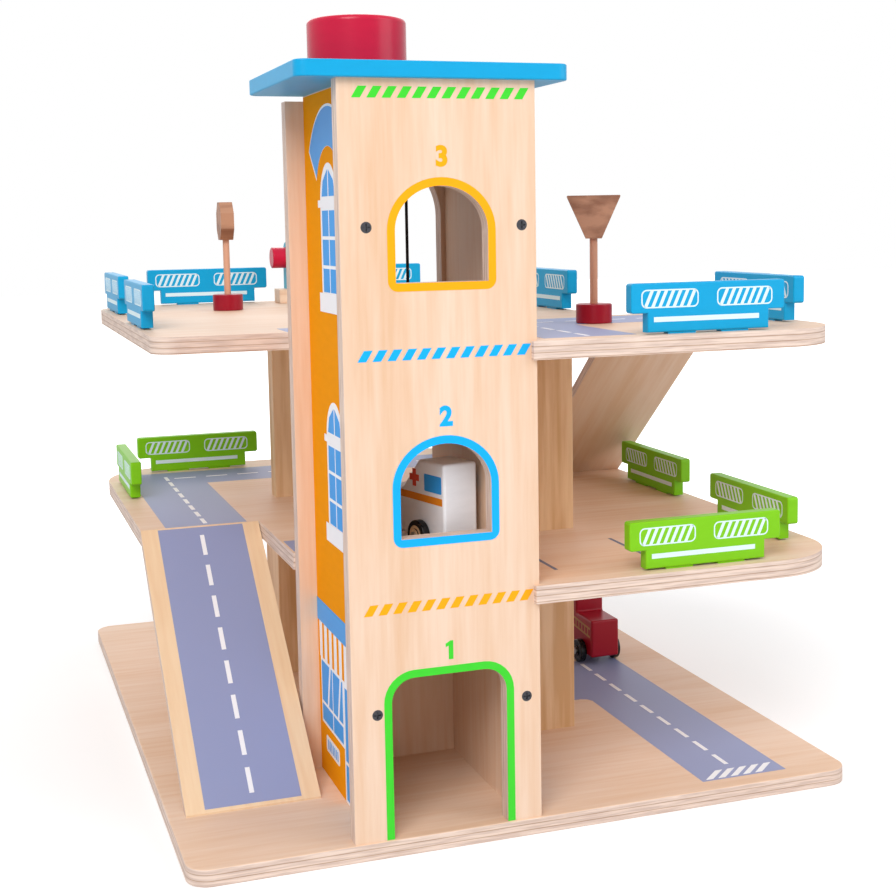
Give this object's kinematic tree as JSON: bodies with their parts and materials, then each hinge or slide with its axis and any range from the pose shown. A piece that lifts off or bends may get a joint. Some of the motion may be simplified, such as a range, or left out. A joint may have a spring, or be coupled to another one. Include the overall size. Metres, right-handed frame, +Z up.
{
  "type": "toy parking garage with lift",
  "caption": "Wooden toy parking garage on a base board: lift tower with a roof winding knob, road decks on posts, ramps, painted railings, road signs, an ambulance and a fire truck.",
  "frame": {"origin": "middle of the base board's underside", "axes": "+X to the right along the front, +Y to the back, +Z up"},
  "size_m": [0.37, 0.463, 0.4178],
  "materials": {
    "pale_ply": "clear satin lacquer over ply, printed on the faces",
    "pine": "bare sanded pine",
    "orange_paint": "satin paint on ply",
    "blue_paint": "satin paint",
    "green_paint": "satin paint",
    "red_paint": "satin paint",
    "dark_red_paint": "satin paint",
    "white_paint": "satin paint",
    "turquoise_paint": "satin paint",
    "black_paint": "satin paint, pale hub",
    "cord": "black braided cord",
    "bright_steel": "plain",
    "dark_steel": "blackened"
  },
  "bodies": {
    "garage": {"base_board": "pale_ply", "front_panel": "pale_ply", "back_board": "pale_ply", "left_side_panel": "orange_paint", "right_side_panel": "orange_paint", "second_floor_deck": "pale_ply", "third_floor_deck": "pale_ply", "roof_board": "blue_paint", "lower_ramp": "pale_ply", "upper_ramp": "pale_ply", "right_lower_post": "pine", "right_upper_post": "pine", "left_lower_post": "pine", "left_upper_post": "pine", "front_screws": "dark_steel", "back_screws": "dark_steel", "guide_eyelet": "bright_steel", "winding_cord": "cord", "lift_cord": "cord", "blue_fence_left_front": "blue_paint", "blue_fence_left_rear": "blue_paint", "blue_fence_rear_left": "blue_paint", "blue_fence_rear_right": "blue_paint", "blue_fence_ramp_side": "blue_paint", "blue_fence_front": "blue_paint", "blue_fence_right": "blue_paint", "green_fence_left": "green_paint", "green_fence_rear_left": "green_paint", "green_fence_rear_right": "green_paint", "green_fence_right_rear": "green_paint", "green_fence_right_front": "green_paint", "green_fence_front": "green_paint"},
    "lift": {"lift_floor": "pale_ply", "lift_left_wall": "pale_ply", "lift_right_wall": "pale_ply", "lift_top": "pale_ply", "lift_eyelet": "bright_steel", "lift_knot": "cord"},
    "winder": {"roof_knob": "red_paint", "knob_spindle": "pine", "winding_spool": "pine"},
    "ambulance": {"ambulance_body": "white_paint"},
    "ambulance_front": {"ambulance_front_wheels": "black_paint", "ambulance_front_axle": "bright_steel"},
    "ambulance_rear": {"ambulance_rear_wheels": "black_paint", "ambulance_rear_axle": "bright_steel"},
    "truck": {"truck_body": "dark_red_paint"},
    "truck_front": {"truck_front_wheels": "black_paint", "truck_front_axle": "bright_steel"},
    "truck_rear": {"truck_rear_wheels": "black_paint", "truck_rear_axle": "bright_steel"},
    "warning_sign": {"warning_sign_board": "pale_ply", "warning_sign_post": "pine", "warning_sign_base": "dark_red_paint"},
    "stop_sign": {"stop_sign_board": "pale_ply", "stop_sign_post": "pine", "stop_sign_base": "dark_red_paint"},
    "signal": {"signal_plate": "turquoise_paint", "signal_lamp": "red_paint", "signal_base": "pine"}
  },
  "joints": [
    {"name": "lift_slide", "type": "slide", "parent": "garage", "child": "lift", "axis": [0, 0, 1], "range_m": [-0.1315, 0.14], "deforming": ["lift_cord"]},
    {"name": "knob_turn", "type": "hinge", "parent": "garage", "child": "winder", "pos_m": [-0.077, -0.17655, 0.3925], "axis": [0, 0, 1], "range_deg": [-1115, 1185]},
    {"name": "ambulance_roll", "type": "slide", "parent": "lift", "child": "ambulance", "axis": [-0.2538, 0.9673, 0], "range_m": [-0.003, 0.01]},
    {"name": "ambulance_rear_spin", "type": "hinge", "parent": "ambulance", "child": "ambulance_rear", "pos_m": [-0.04179, -0.18877, 0.1552], "axis": [0.9673, 0.2538, 0], "continuous": true},
    {"name": "ambulance_front_spin", "type": "hinge", "parent": "ambulance", "child": "ambulance_front", "pos_m": [-0.05003, -0.15733, 0.1552], "axis": [0.9673, 0.2538, 0], "continuous": true},
    {"name": "truck_roll", "type": "slide", "parent": "garage", "child": "truck", "axis": [0, 1, 0], "range_m": [-0.21, 0.15]},
    {"name": "truck_rear_spin", "type": "hinge", "parent": "truck", "child": "truck_rear", "pos_m": [0.13725, 0.008, 0.0172], "axis": [1, 0, 0], "continuous": true},
    {"name": "truck_front_spin", "type": "hinge", "parent": "truck", "child": "truck_front", "pos_m": [0.13725, 0.05, 0.0172], "axis": [1, 0, 0], "continuous": true},
    {"name": "warning_sign_lift_off", "type": "slide", "parent": "garage", "child": "warning_sign", "axis": [0, 0, 1], "range_m": [0, 0.06]},
    {"name": "stop_sign_lift_off", "type": "slide", "parent": "garage", "child": "stop_sign", "axis": [0, 0, 1], "range_m": [0, 0.06]},
    {"name": "signal_lift_off", "type": "slide", "parent": "garage", "child": "signal", "axis": [0, 0, 1], "range_m": [0, 0.06]}
  ],
  "couplings": [
    {"joint": "knob_turn", "follows": "lift_slide", "rad_per_m": 147.06},
    {"joint": "ambulance_rear_spin", "follows": "ambulance_roll", "rad_per_m": -125},
    {"joint": "ambulance_front_spin", "follows": "ambulance_roll", "rad_per_m": -125},
    {"joint": "truck_rear_spin", "follows": "truck_roll", "rad_per_m": -125},
    {"joint": "truck_front_spin", "follows": "truck_roll", "rad_per_m": -125}
  ]
}
